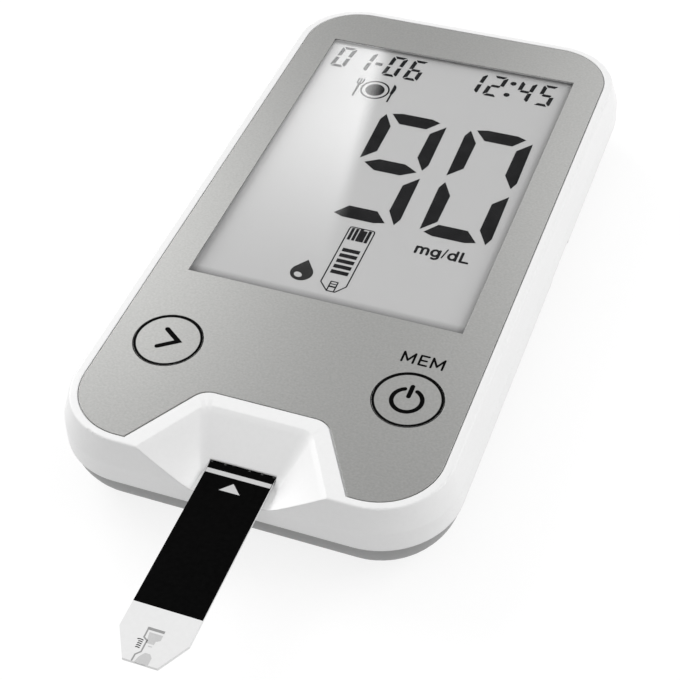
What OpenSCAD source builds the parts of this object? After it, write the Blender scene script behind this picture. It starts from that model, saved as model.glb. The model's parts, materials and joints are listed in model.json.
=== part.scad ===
// Handheld blood glucose meter with a test strip in its port, in millimetres.
// The back lies on Z = 0 and +Z points out of the display. +Y runs from the
// strip port to the far end, and X = 0, Y = 0 is the middle of the back.

/* [Casing] */
// Width over the seam between the two shells
body_w = 50; // [49.6:0.2:51]
// Length over the seam
body_l = 94; // [93.6:0.2:96]
// Thickness from the back to the rim
body_h = 12.6; // [12.5:0.1:13]
// Corner radius at the seam, seen from the front
corner_r = 10; // [9.6:0.2:10.4]
// Height of the seam above the back, also the radius of the rounded back edge
seam_z = 6.5; // [6.4:0.1:6.7]
// How far the lower shell's side lies inside the upper shell's at the seam
seam_step = 0.3; // [0.2:0.05:0.4]
// Wall thickness of both shells
wall_t = 1.6; // [1.5:0.1:1.7]
// Height of the crease line round the upper shell
crease_z = 9.35; // [9:0.05:9.6]
// How far the crease lies inside the seam
crease_inset = 0.1; // [0.05:0.05:0.2]
// How far the virtual rim edge lies inside the seam
rim_inset = 1.1; // [1:0.05:1.3]
// Rounding of the rim edge
rim_r = 0.3; // [0.2:0.05:0.4]

/* [Front plate] */
// Width of the front plate
plate_w = 45.3; // [45:0.1:45.6]
// Length of the front plate
plate_l = 89.6; // [89.3:0.1:89.8]
// Corner radius of the front plate
plate_r = 7.7; // [7.4:0.1:8]
// Thickness of the front plate
plate_t = 0.3; // [0.25:0.05:0.4]
// Gap round the front plate
plate_gap = 0.15; // [0.1:0.05:0.2]
// Half width of the notch at its inner end
notch_half = 7.95; // [7.7:0.05:8.1]
// Depth of the notch
notch_depth = 9.7; // [9.5:0.1:9.8]
// Sideways flare of the notch for each millimetre of depth
notch_flare = 0.605; // [0.59:0.005:0.62]
// Rounding of the notch's inner corners
notch_r = 2.6; // [2:0.1:3]

/* [Display] */
// Width of the display window
window_w = 36.8; // [36:0.1:37]
// Length of the display window
window_l = 54; // [53.2:0.1:54.2]
// Distance of the window's middle from the middle of the back
window_y = 10.5; // [10.2:0.1:10.6]
// Thickness of the clear lens
lens_t = 0.5; // [0.45:0.05:0.6]
// Thickness of each glass of the display cell
glass_t = 1.05; // [1:0.05:1.1]

/* [Keys] */
// Radius of a key cap
key_r = 4.3; // [4.1:0.05:4.4]
// Distance of each key from the middle line
key_x = 15.5; // [15.3:0.1:15.7]
// Distance of the keys from the middle of the back, towards the strip port
key_y = 28.9; // [28.7:0.1:29.1]
// Radial gap round a key cap
key_gap = 0.12; // [0.1:0.01:0.15]
// Travel of a key
key_travel = 0.3; // [0.2:0.05:0.3]

/* [Strip port] */
// Half width of the funnel's mouth at its inner end
mouth_half = 6.55; // [6.4:0.05:6.65]
// Distance of the mouth's inner end from the front end of the casing
mouth_depth = 9.7; // [9.6:0.05:9.8]
// Sideways flare of the mouth for each millimetre of depth
mouth_flare = 0.595; // [0.58:0.005:0.61]
// Rounding of the mouth's inner corners
mouth_r = 2; // [1.8:0.1:2.2]
// Half width of the funnel's floor at the slot
foot_half = 4.75; // [4.6:0.05:4.9]
// Half width of the funnel's floor at the front
foot_front_half = 4.5; // [4.4:0.05:4.7]
// Distance of the slot from the front end of the casing
foot_depth = 4.3; // [4.2:0.05:4.4]
// Rounding of the funnel's inner corners at the floor
foot_r = 0.9; // [0.7:0.1:1]

/* [Test strip] */
// Width of the strip
strip_w = 8.2; // [8:0.05:8.25]
// Height of the strip's underside above the back
strip_z = 9; // [8.95:0.05:9.05]
// Thickness of the white base sheet
strip_base_t = 0.2; // [0.15:0.05:0.2]
// Thickness of the spacer sheet with the sample channel
strip_spacer_t = 0.1; // [0.05:0.05:0.1]
// Thickness of the printed cover sheet
strip_cover_t = 0.1; // [0.05:0.05:0.1]
// Distance of the strip's tip from the middle of the back
strip_tip_y = 70.3; // [69:0.1:71]
// Length of the strip's tapered tip
strip_taper = 3.6; // [3.4:0.1:3.8]
// Width of the strip at the very tip
strip_tip_w = 4.1; // [3.9:0.1:4.3]

/* [Battery] */
// Height of the 20 mm coin cell
cell_h = 3.2; // [2.5, 3.2]
// Distance of the cell's middle from the middle of the back
cell_y = 16.5; // [16:0.5:17]
// Angle from locked to released
door_turn = 50; // [45:1:55]

/* [Data port] */
// Distance of the port's middle from the middle of the back
port_y = 6.4; // [6.2:0.1:6.6]
// Width of the receptacle
port_w = 7.5; // [7.4:0.1:7.6]
// Height of the receptacle
port_h = 2.6; // [2.5:0.1:2.6]

/* [Hidden] */
$fn = 96;
eps = 0.02;

half_w = body_w / 2;
half_l = body_l / 2;

// Levels of the front stack, from the rim down
plate_z = body_h - plate_t;
lens_z = plate_z - lens_t;
lcd_top_z = lens_z - 0.05;
lcd_mid_z = lcd_top_z - glass_t;
lcd_low_z = lcd_mid_z - glass_t;
reflector_t = 0.2;
reflector_z = lcd_low_z - reflector_t;
deck_t = 1.2;
deck_z = plate_z - deck_t;

// Levels of the rear stack, from the back up
board_z = seam_z - 0.2;
board_t = 1;
board_top_z = board_z + board_t;
cell_z = 2.45;
cell_d = 20;
strip_t = strip_base_t + strip_spacer_t + strip_cover_t;
strip_top_z = strip_z + strip_t;

// Outlines seen from the front
board_margin = 0.8;
lip_inset = 0.8;
lip_t = 0.75;
lip_h = 0.75;
lip_gap = 0.05;
lens_margin = 1.7;
lens_gap = 0.1;
lcd_margin = 0.45;
lcd_gap = 0.2;
lcd_w = window_w + 2 * lcd_margin;
lcd_l = window_l + 2 * lcd_margin;
contact_ledge = 3.1;
frame_wall = 1.15;
frame_base_t = 0.4;
frame_bar = 2.2;
frame_leg_r = 1.2;
frame_leg_x = 18.6;
frame_legs_y = [-17.6, 20.4, 35.4];
zebra_w = 2;
zebra_l = 34;

lens_sink = 0.1;
lens_side_gap = 0.05;

// Screws and their bosses
screw_places = [[19.4, 41.8], [20, -38.5]];
screw_r = 1;
screw_clear_r = 1.15;
screw_head_r = 1.9;
screw_head_h = 1;
screw_seat_z = 3.2;
screw_end_z = deck_z - 0.8;
counterbore_r = 2.1;
boss_r = 2.3;
rear_boss_r = 3.1;

// Posts and floor ribs of the lower shell
post_r = 1.2;
post_places = [[8, -24]];
rib_w = 0.8;
rib_h = 1.1;
rib_xs = [-17, 0, 17];
rib_ys = [-34, -24, -14, -4];
rib_front_y = -39;

// Keys
key_flange_r = 5;
key_flange_t = 0.5;
key_flange_gap = 0.05;
key_stem_r = 1.6;
dome_r = 3;
dome_t = 0.1;
dome_h = key_travel + dome_t;
dome_sphere_r = (dome_r * dome_r + dome_h * dome_h) / (2 * dome_h);

// Strip port
front_reach = 3;
funnel_wall = 1.4;
funnel_edge = 0.25;
funnel_steps = 12;
corner_steps = 8;
slot_gap = 0.1;
slot_l = 16;
connector_w = 12.4;
connector_front_y = -38.3;
connector_rear_y = -29;
connector_top_z = 10.3;
socket_gap = 0.2;
socket_room_l = 12;
channel_gap = 0.05;
strip_end_y = -31.4;
contact_exposed = 4;
contact_count = 5;
contact_pitch = 1.45;
contact_w = 0.8;
contact_slot_w = 1.05;
contact_slot_h = 0.95;
contact_t = 0.15;
contact_heel = 0.3;
contact_foot = 1.2;
contact_rise = 0.75;
contact_toe = [0.8, 0.3];

// Battery door, a bayonet with three lugs
door_gap = 0.1;
door_flange_r = 13.85;
door_flange_t = 0.75;
door_hub_r = 12.25;
door_top_z = 2.4;
door_ledge_z = 0.8;
lug_r = 13.35;
lug_gap_z = 0.05;
lug_side_gap = 0.15;
lug_angles = [30, 150, 270];
lug_span = 24;
notch_span = 28;
stop_span = 6;
stop_gap = 0.2;
stop_bite = 0.3;
coin_slot = [15, 2.2, 1.2];
well_r = 13.7;
well_t = 1;
cell_gap = 0.15;
cell_rib_w = 1;
cell_rib_angles = [60, 120, 240, 300];

// Data port
port_depth = 5.6;
port_recess = 1.1;
port_wall = 0.3;
port_z = 4.05;
port_clear = 0.25;
port_reach = 1.5;
tongue = [4.2, 3.8, 0.5];

// Places of the components on the underside of the board
controller_place = [0, -14];
controller_size = [9, 9, 1.4];
memory_place = [13, -11];
memory_size = [4.9, 3.9, 1.5];
crystal_place = [-11, -8];
crystal_size = [5, 3, 1.2];
buzzer_place = [0, 37];
buzzer_r = 4.5;
buzzer_h = 2.2;
buzzer_hole_r = 0.8;
capacitor_xs = [-12, -9.5, -7, 7, 9.5, 12];
capacitor_y = -21.5;
capacitor = [1.2, 2, 0.9];

// Outline helpers ---------------------------------------------------------

module rounded_rect(w, l, r) {
    square([w - 2 * r, l], center = true);
    square([w, l - 2 * r], center = true);
    for (sx = [-1, 1], sy = [-1, 1])
        translate([sx * (w / 2 - r), sy * (l / 2 - r)]) circle(r);
}

module rounded_slab(w, l, r, z0, z1) {
    translate([0, 0, z0]) linear_extrude(z1 - z0) rounded_rect(w, l, r);
}

// Right half of a trapezoid whose upper corner is rounded by r. It is top_x
// wide at top_y and grows by flare for each millimetre below that.
module shoulder(top_x, top_y, flare, bottom_y, r) {
    slant = sqrt(1 + flare * flare);
    centre = [top_x - r * (slant - flare), top_y - r];
    polygon([
        [0, bottom_y],
        [top_x + flare * (top_y - bottom_y), bottom_y],
        centre + [r, r * flare] / slant,
        centre,
        [centre[0], top_y],
        [0, top_y]
    ]);
    translate(centre) circle(r);
}

// Carries a side section round the casing's outline. The section's x = 0 lies
// on the axis of the corner, and its y is the height.
module outline_sweep(z0, z1) {
    core = [body_w - 2 * corner_r, body_l - 2 * corner_r];
    translate([-core[0] / 2, -core[1] / 2, z0]) cube([core[0], core[1], z1 - z0]);
    for (side = [0:3]) {
        along = side % 2;
        rotate([0, 0, 90 * side]) translate([core[along] / 2, 0, 0]) {
            rotate([90, 0, 0]) linear_extrude(core[1 - along], center = true) children();
            translate([0, core[1 - along] / 2, 0]) rotate_extrude(angle = 90) children();
        }
    }
}

module upper_form() {
    flare = (rim_inset - crease_inset) / (body_h - crease_z);
    outline_sweep(seam_z, body_h) {
        shoulder(corner_r - rim_inset, body_h, flare, crease_z, rim_r);
        polygon([
            [0, seam_z], [corner_r, seam_z], [corner_r - crease_inset, crease_z], [0, crease_z]
        ]);
    }
}

// The lower half's round edge is a quarter circle, here taken in by inset
module lower_form(inset = 0) {
    side = corner_r - seam_step;
    flat = side - seam_z;
    outline_sweep(inset, seam_z + (inset > 0 ? eps : 0)) {
        translate([0, inset]) square([flat, seam_z - inset]);
        intersection() {
            translate([flat, seam_z]) circle(seam_z - inset);
            translate([flat, 0]) square([seam_z, seam_z]);
        }
        if (inset > 0)
            translate([0, seam_z - eps]) square([side - inset, 2 * eps]);
    }
}

module inset_slab(inset, z0, z1) {
    rounded_slab(body_w - 2 * inset, body_l - 2 * inset, corner_r - inset, z0, z1);
}

module at_screws() {
    for (sx = [-1, 1], place = screw_places)
        translate([sx * place[0], place[1], 0]) children();
}

module at_key(side) {
    translate([side * key_x, -key_y, 0]) children();
}

// Strip port --------------------------------------------------------------

function blend(share, foot, mouth) = foot + share * (mouth - foot);

// Right half of the funnel's outline, from the front round the inner corner to
// the rear; share runs from 0 at the floor to 1 at the mouth
function funnel_side(share, grow) =
    let (
        front_y = -half_l - front_reach,
        mouth_front_half = mouth_half + mouth_flare * (mouth_depth + front_reach),
        half = blend(share, foot_half, mouth_half) + grow,
        rear_y = -half_l + blend(share, foot_depth, mouth_depth) + grow,
        front_half = blend(share, foot_front_half, mouth_front_half) + grow,
        flare = (front_half - half) / (rear_y - front_y),
        r = blend(share, foot_r, mouth_r) + grow,
        centre = [half - r * (sqrt(1 + flare * flare) - flare), rear_y - r],
        start = atan(flare)
    )
    concat([[front_half, front_y]], [
        for (i = [0:corner_steps])
            let (a = blend(i / corner_steps, start, 90)) centre + r * [cos(a), sin(a)]
    ]);

// The whole outline, anticlockwise from the front on the right
function funnel_outline(share, grow) =
    let (side = funnel_side(share, grow), last = len(side) - 1)
    concat(side, [for (i = [last:-1:0]) [-side[i][0], side[i][1]]]);

// Share, growth and height of each layer: twisted walls, then an eased edge
funnel_layers = concat(
    [
        for (i = [0:funnel_steps])
            let (z = blend(i / funnel_steps, strip_top_z, body_h - funnel_edge))
            [(z - strip_top_z) / (body_h - strip_top_z), 0, z]
    ],
    [for (z = [body_h, body_h + 1]) [1, funnel_edge / 2, z]]
);

// The space of the funnel, from its floor beside the strip up to the mouth
module funnel() {
    count = 2 * (corner_steps + 2);
    top = (len(funnel_layers) - 1) * count;
    polyhedron(
        points = [
            for (layer = funnel_layers, place = funnel_outline(layer[0], layer[1]))
                [place[0], place[1], layer[2]]
        ],
        faces = concat(
            [[for (i = [0:count - 1]) i], [for (i = [count - 1:-1:0]) top + i]],
            [
                for (low = [0:count:top - 1], i = [0:count - 1], upper = [0, 1])
                    let (j = (i + 1) % count)
                    upper == 0 ? [low + i, low + count + i, low + j]
                        : [low + j, low + count + i, low + count + j]
            ]
        )
    );
}

// The block that the funnel's walls are cut from
module funnel_block() {
    hull() {
        translate([0, 0, plate_z]) linear_extrude(eps) polygon(funnel_outline(1, funnel_wall));
        translate([0, 0, board_top_z + 0.1]) linear_extrude(eps)
            polygon(funnel_outline(0, funnel_wall));
    }
}

module strip_outline(inner_y) {
    tip_y = -strip_tip_y;
    polygon([
        [-strip_tip_w / 2, tip_y], [strip_tip_w / 2, tip_y],
        [strip_w / 2, tip_y + strip_taper], [strip_w / 2, inner_y],
        [-strip_w / 2, inner_y], [-strip_w / 2, tip_y + strip_taper]
    ]);
}

// Casing ------------------------------------------------------------------

module port_opening() {
    inner_x = half_w - wall_t - port_reach;
    translate([inner_x, port_y - port_w / 2 - port_clear, port_z - port_clear])
        cube([half_w + 1 - inner_x, port_w + 2 * port_clear, port_h + 2 * port_clear]);
}

module plate_notch() {
    for (s = [0, 1]) mirror([s, 0])
        shoulder(notch_half, -plate_l / 2 + notch_depth, notch_flare, -plate_l / 2 - 1, notch_r);
}

module plate_outline(gap = 0) {
    difference() {
        rounded_rect(plate_w + 2 * gap, plate_l + 2 * gap, plate_r + gap);
        if (gap == 0) plate_notch();
    }
}

// The plate's seat follows the plate at plate_gap all round, the notch included
module plate_seat() {
    difference() {
        translate([0, 0, plate_z]) linear_extrude(plate_t + 1) plate_outline(plate_gap);
        translate([0, 0, plate_z - eps]) linear_extrude(plate_t + 2)
            for (s = [0, 1]) mirror([s, 0])
                shoulder(notch_half - plate_gap, -plate_l / 2 + notch_depth - plate_gap,
                    notch_flare, -plate_l / 2 - 1, notch_r - plate_gap);
    }
}

module lcd_block(margin, ledge, z0, z1) {
    translate([-lcd_w / 2 - margin, window_y - lcd_l / 2 - ledge - margin, z0])
        cube([lcd_w + 2 * margin, lcd_l + ledge + 2 * margin, z1 - z0]);
}

module top_housing() {
    color("white")
    difference() {
        union() {
            difference() {
                upper_form();
                inset_slab(wall_t, seam_z - 1, deck_z);
                inset_slab(lip_inset - lip_gap, seam_z - 1, seam_z + lip_h + lip_gap);
            }
            intersection() {
                upper_form();
                funnel_block();
            }
            at_screws() translate([0, 0, board_top_z])
                cylinder(r = boss_r, h = deck_z + eps - board_top_z);
        }
        plate_seat();
        lcd_block(lens_margin - lcd_margin + lens_gap, contact_ledge, lens_z, body_h + 1);
        lcd_block(lcd_gap, contact_ledge, deck_z - 1, lens_z + eps);
        for (s = [-1, 1]) at_key(s) translate([0, 0, deck_z - 1])
            cylinder(r = key_r + key_gap, h = body_h);
        funnel();
        // Groove and slot of the strip
        translate([-strip_w / 2 - slot_gap, -half_l - 1, strip_z - slot_gap])
            cube([strip_w + 2 * slot_gap, slot_l, strip_t + 2 * slot_gap]);
        // Room for the strip's socket behind the funnel
        translate([-connector_w / 2 - socket_gap, connector_front_y - socket_gap, board_top_z - 1])
            cube([connector_w + 2 * socket_gap, socket_room_l, connector_top_z + socket_gap - board_top_z + 1]);
        at_screws() translate([0, 0, seam_z])
            cylinder(r = screw_r, h = screw_end_z - seam_z);
        port_opening();
    }
}

module rear_cover() {
    color("dimgray")
    difference() {
        union() {
            difference() {
                lower_form();
                lower_form(wall_t);
            }
            difference() {
                inset_slab(lip_inset, seam_z - 1, seam_z + lip_h);
                inset_slab(lip_inset + lip_t, seam_z - 2, seam_z + lip_h + 1);
            }
            intersection() {
                lower_form();
                rear_cover_insides();
            }
        }
        at_screws() {
            translate([0, 0, -1]) cylinder(r = screw_clear_r, h = seam_z + 1);
            translate([0, 0, -1]) cylinder(r = counterbore_r, h = screw_seat_z + 1);
        }
        translate([0, cell_y, 0]) {
            translate([0, 0, -1]) cylinder(r = door_flange_r + door_gap, h = door_ledge_z + 1);
            translate([0, 0, -1]) cylinder(r = door_hub_r + door_gap, h = wall_t + 2);
            for (a = lug_angles) rotate([0, 0, a - door_turn - notch_span / 2])
                rotate_extrude(angle = notch_span)
                    translate([door_hub_r - 1, 0])
                        square([lug_r + lug_side_gap - door_hub_r + 1, wall_t + 1]);
        }
        port_opening();
    }
}

module rear_cover_insides() {
    at_screws() translate([0, 0, wall_t - eps])
        cylinder(r = rear_boss_r, h = board_z - wall_t + eps);
    // Cell well with its centring ribs, and the stops of the door's lugs
    translate([0, cell_y, 0]) {
        translate([0, 0, wall_t - eps]) difference() {
            cylinder(r = well_r + well_t, h = board_z - wall_t + eps);
            translate([0, 0, -1]) cylinder(r = well_r, h = seam_z + 1);
        }
        for (a = cell_rib_angles) rotate([0, 0, a])
            translate([cell_d / 2 + cell_gap, -cell_rib_w / 2, cell_z])
                cube([well_r + 0.5 - cell_d / 2 - cell_gap, cell_rib_w, board_z - cell_z - 0.5]);
        for (a = lug_angles) rotate([0, 0, a + lug_span / 2 + 1])
            rotate_extrude(angle = stop_span)
                translate([door_hub_r + stop_gap, wall_t - eps])
                    square([well_r + stop_bite - door_hub_r - stop_gap, door_top_z - wall_t]);
    }
    // Posts under the board, and ribs across the floor
    for (sx = [-1, 1], place = post_places)
        translate([sx * place[0], place[1], wall_t - eps])
            cylinder(r = post_r, h = board_z - wall_t + eps);
    for (y = rib_ys) translate([rib_xs[0], y - rib_w / 2, wall_t - eps])
        cube([rib_xs[2] - rib_xs[0], rib_w, rib_h]);
    for (x = rib_xs) translate([x - rib_w / 2, rib_front_y, wall_t - eps])
        cube([rib_w, rib_ys[3] - rib_front_y, rib_h]);
}

module front_plate() {
    color("silver")
    translate([0, 0, plate_z]) linear_extrude(plate_t)
    difference() {
        plate_outline();
        translate([0, window_y]) square([window_w, window_l], center = true);
        for (s = [-1, 1]) translate([s * key_x, -key_y]) circle(key_r + key_gap);
    }
}

module display_lens() {
    pad = [window_w - 2 * lens_side_gap, window_l - 2 * lens_side_gap];
    color("lightgray", 0.3) {
        lcd_block(lens_margin - lcd_margin, contact_ledge, lens_z, plate_z);
        // The middle fills the plate's window, just below its face
        translate([0, window_y, plate_z - eps]) linear_extrude(plate_t - lens_sink + eps)
            square(pad, center = true);
    }
}

// Display -----------------------------------------------------------------

module lcd_front_glass() {
    color("lightsteelblue")
    lcd_block(0, contact_ledge, lcd_mid_z, lcd_top_z);
}

module lcd_rear_glass() {
    color("slategray")
    lcd_block(0, 0, lcd_low_z, lcd_mid_z);
}

module lcd_reflector() {
    color("gainsboro")
    lcd_block(0, 0, reflector_z, lcd_low_z);
}

// Frame round the display cell, on six legs that stand on the board
module lcd_frame() {
    base_z = reflector_z - frame_base_t;
    color("ivory")
    difference() {
        union() {
            lcd_block(frame_wall, contact_ledge, base_z, deck_z);
            for (sx = [-1, 1], y = frame_legs_y)
                translate([sx * frame_leg_x, y, board_top_z])
                    cylinder(r = frame_leg_r, h = base_z - board_top_z + eps);
        }
        lcd_block(0.05, contact_ledge, reflector_z, deck_z + 1);
        lcd_block(-frame_bar, 0, base_z - 1, reflector_z + 1);
        translate([0, 0, base_z - 1]) zebra_block(0.1, 3);
    }
}

module zebra_block(gap, h) {
    ledge_y = window_y - lcd_l / 2 - contact_ledge / 2;
    translate([-zebra_l / 2 - gap, ledge_y - zebra_w / 2 - gap, 0])
        cube([zebra_l + 2 * gap, zebra_w + 2 * gap, h]);
}

module zebra_connector() {
    color("hotpink")
    translate([0, 0, board_top_z]) zebra_block(0, lcd_mid_z - board_top_z);
}

// Board and its components ------------------------------------------------

module circuit_board() {
    color("darkgreen")
    difference() {
        rounded_slab(body_w - 2 * (wall_t + board_margin), body_l - 2 * (wall_t + board_margin),
            corner_r - wall_t - board_margin, board_z, board_top_z);
        at_screws() translate([0, 0, board_z - 1]) cylinder(r = screw_clear_r, h = board_t + 2);
        translate([half_w - port_recess - port_depth - 0.1, port_y - port_w / 2 - 0.1, board_z - 1])
            cube([port_depth + 2, port_w + 0.2, board_t + 2]);
    }
}

// A row of leads along X, their middle at distance out from the package's middle
module lead_row(count, pitch, out) {
    lead = [0.3, 0.8, 0.3];
    for (i = [0:1:count - 1])
        translate([(i - (count - 1) / 2) * pitch - lead[0] / 2, out - lead[1] / 2, board_z - lead[2]])
            cube(lead);
}

// Flat package under the board with leads along chosen sides
module chip(size, pitch, leads_x, leads_y) {
    standoff = 0.1;
    reach = 0.3;
    translate([-size[0] / 2, -size[1] / 2, board_z - size[2]])
        cube([size[0], size[1], size[2] - standoff]);
    for (turn = [0, 180]) rotate([0, 0, turn]) {
        lead_row(leads_x, pitch, size[1] / 2 + reach);
        rotate([0, 0, 90]) lead_row(leads_y, pitch, size[0] / 2 + reach);
    }
}

module microcontroller() {
    color("black")
    translate(controller_place) chip(controller_size, 0.75, 11, 11);
}

module memory_chip() {
    color("black")
    translate(memory_place) chip(memory_size, 1.2, 4, 0);
}

module crystal() {
    color("silver")
    translate([crystal_place[0], crystal_place[1], board_z - crystal_size[2]])
        linear_extrude(crystal_size[2]) {
            square([crystal_size[0], crystal_size[1]], center = true);
            for (s = [-1, 1]) translate([s * crystal_size[0] / 2, 0]) circle(crystal_size[1] / 2);
        }
}

module chip_capacitors() {
    color("tan")
    for (x = capacitor_xs)
        translate([x - capacitor[0] / 2, capacitor_y, board_z - capacitor[2]]) cube(capacitor);
}

module buzzer() {
    color("goldenrod")
    translate([buzzer_place[0], buzzer_place[1], board_z - buzzer_h]) difference() {
        cylinder(r = buzzer_r, h = buzzer_h);
        translate([0, 0, -1]) cylinder(r = buzzer_hole_r, h = buzzer_h);
    }
}

module port_block(grow, x0, x1) {
    translate([x0, port_y - port_w / 2 - grow, port_z - grow])
        cube([x1 - x0, port_w + 2 * grow, port_h + 2 * grow]);
}

module data_port_shell() {
    rear_x = half_w - port_recess - port_depth;
    color("silver")
    difference() {
        port_block(0, rear_x, rear_x + port_depth);
        port_block(-port_wall, rear_x + 1, half_w);
    }
}

module data_port_tongue() {
    rear_x = half_w - port_recess - port_depth;
    color("black")
    translate([rear_x + 1, port_y - tongue[1] / 2, port_z + port_h - 1.2])
        cube(tongue);
}

// Socket of the strip: a channel with slots in its roof for the contacts
module strip_connector() {
    length = connector_rear_y - connector_front_y;
    channel_h = strip_t + 2 * channel_gap;
    color("black")
    difference() {
        translate([-connector_w / 2, connector_front_y, board_top_z])
            cube([connector_w, length, connector_top_z - board_top_z]);
        translate([-strip_w / 2 - channel_gap, connector_front_y - 1, strip_z - channel_gap])
            cube([strip_w + 2 * channel_gap, strip_end_y + 0.1 - connector_front_y + 1, channel_h]);
        for (i = [0:contact_count - 1])
            translate([contact_x(i) - contact_slot_w / 2, strip_end_y - contact_exposed,
                strip_z + strip_base_t])
                cube([contact_slot_w, length + 1, contact_slot_h]);
    }
}

function contact_x(i) = (i - (contact_count - 1) / 2) * contact_pitch;

// Each contact stands on the board behind the socket and reaches forward
// through its slot to rest on the strip's electrode
module strip_contacts() {
    t = contact_t;
    tip_z = strip_z + strip_base_t;
    tip_y = strip_end_y - contact_exposed / 2;
    toe_y = tip_y - contact_toe[0];
    toe_z = tip_z + contact_toe[1];
    arm_z = tip_z + contact_rise;
    back_y = connector_rear_y + contact_heel;
    foot_y = back_y + contact_foot;
    color("gold")
    for (i = [0:contact_count - 1])
        translate([contact_x(i) + contact_w / 2, 0, 0]) rotate([90, 0, -90])
            linear_extrude(contact_w) mirror([1, 0]) polygon([
                [foot_y, board_top_z], [back_y, board_top_z], [back_y, arm_z - t],
                [tip_y, tip_z], [toe_y, toe_z], [toe_y, toe_z + t], [tip_y, tip_z + t],
                [back_y + t, arm_z], [back_y + t, board_top_z + t], [foot_y, board_top_z + t]
            ]);
}

// Keys --------------------------------------------------------------------

module key_cap(side) {
    flange_top = deck_z - key_flange_gap;
    color("silver")
    at_key(side) {
        translate([0, 0, flange_top]) cylinder(r = key_r, h = body_h - flange_top);
        translate([0, 0, flange_top - key_flange_t]) cylinder(r = key_flange_r, h = key_flange_t);
        translate([0, 0, board_top_z + dome_h])
            cylinder(r = key_stem_r, h = flange_top - board_top_z - dome_h);
    }
}

module next_key() { key_cap(-1); }
module power_key() { key_cap(1); }

// Metal snap dome that the key's stem presses flat
module snap_dome(side) {
    color("silver")
    at_key(side) translate([0, 0, board_top_z]) rotate_extrude() intersection() {
        translate([0, dome_h - dome_sphere_r]) difference() {
            circle(dome_sphere_r, $fn = 360);
            circle(dome_sphere_r - dome_t, $fn = 360);
        }
        square([dome_r + 1, dome_h + 1]);
    }
}

module next_dome() { snap_dome(-1); }
module power_dome() { snap_dome(1); }

// Battery -----------------------------------------------------------------

module coin_cell() {
    cap_h = 0.3;
    color("silver")
    translate([0, cell_y, cell_z]) {
        cylinder(d = cell_d, h = cell_h - cap_h);
        cylinder(d = cell_d - 2.4, h = cell_h);
    }
}

// Positive contact: a curved blade against the side of the cell
module cell_clip() {
    blade_t = 0.25;
    blade_low_z = cell_z + 0.5;
    foot_l = 2;
    span = 36;
    color("gold")
    translate([0, cell_y, 0]) rotate([0, 0, -span / 2]) rotate_extrude(angle = span)
        translate([cell_d / 2 + eps, 0]) {
            translate([0, blade_low_z]) square([blade_t, board_z - blade_low_z]);
            translate([0, board_z - blade_t]) square([foot_l, blade_t]);
        }
}

// Negative contact: a leaf on the board that bends down onto the cell's cap
module cell_spring() {
    t = 0.15;
    w = 3;
    foot = [3, 7];
    toe = [-2, 0.3];
    top = board_z;
    low = cell_z + cell_h;
    toe_z = low + toe[1];
    color("gold")
    translate([w / 2, cell_y, 0]) rotate([90, 0, -90]) linear_extrude(w)
        polygon([
            [foot[1], top], [foot[1], top - t], [foot[0], top - t], [0, low],
            [toe[0], toe_z], [toe[0], toe_z + t], [0, low + t], [foot[0], top]
        ]);
}

module battery_door() {
    color("dimgray")
    translate([0, cell_y, 0]) difference() {
        union() {
            cylinder(r = door_flange_r, h = door_flange_t);
            cylinder(r = door_hub_r, h = door_top_z);
            for (a = lug_angles) rotate([0, 0, a - lug_span / 2])
                rotate_extrude(angle = lug_span)
                    translate([door_hub_r - 0.5, wall_t + lug_gap_z])
                        square([lug_r - door_hub_r + 0.5, door_top_z - wall_t - lug_gap_z]);
        }
        translate([-coin_slot[0] / 2, -coin_slot[1] / 2, -1])
            cube([coin_slot[0], coin_slot[1], coin_slot[2] + 1]);
    }
}

module housing_screws() {
    recess = [2, 0.5, 0.5];
    color("silver")
    at_screws() difference() {
        union() {
            translate([0, 0, screw_seat_z - screw_head_h]) cylinder(r = screw_head_r, h = screw_head_h);
            translate([0, 0, screw_seat_z - eps])
                cylinder(r = screw_r, h = screw_end_z - 0.5 - screw_seat_z);
        }
        for (a = [0, 90]) rotate([0, 0, a])
            translate([-recess[0] / 2, -recess[1] / 2, screw_seat_z - screw_head_h - eps])
                cube(recess);
    }
}

// Test strip --------------------------------------------------------------

module strip_base() {
    color("white")
    translate([0, 0, strip_z]) linear_extrude(strip_base_t) strip_outline(strip_end_y);
}

// The spacer leaves the sample channel open from the tip to the reaction chamber
module strip_spacer() {
    chamber_y = -strip_tip_y + 1.2;
    color("gainsboro")
    translate([0, 0, strip_z + strip_base_t]) linear_extrude(strip_spacer_t)
    difference() {
        strip_outline(strip_end_y - contact_exposed);
        translate([-0.6, -strip_tip_y - 1]) square([1.2, 1 + 1.2]);
        translate([-0.3, chamber_y - eps]) square([0.6, 1.4]);
        translate([-0.9, chamber_y + 1]) square([1.8, 1.6]);
    }
}

module strip_cover() {
    color("black")
    translate([0, 0, strip_z + strip_base_t + strip_spacer_t]) linear_extrude(strip_cover_t)
        strip_outline(strip_end_y - contact_exposed);
}

top_housing();
front_plate();
display_lens();
lcd_front_glass();
lcd_rear_glass();
lcd_reflector();
lcd_frame();
zebra_connector();
circuit_board();
microcontroller();
memory_chip();
crystal();
chip_capacitors();
buzzer();
data_port_shell();
data_port_tongue();
strip_connector();
strip_contacts();
next_dome();
power_dome();
rear_cover();
coin_cell();
cell_clip();
cell_spring();
housing_screws();
next_key();
power_key();
battery_door();
strip_base();
strip_spacer();
strip_cover();
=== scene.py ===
"""Looks of the blood glucose meter: finishes, display marks, prints, light and camera."""
import json
import math

import bmesh
import bpy
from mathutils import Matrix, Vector
from mathutils.geometry import delaunay_2d_cdt


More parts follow.
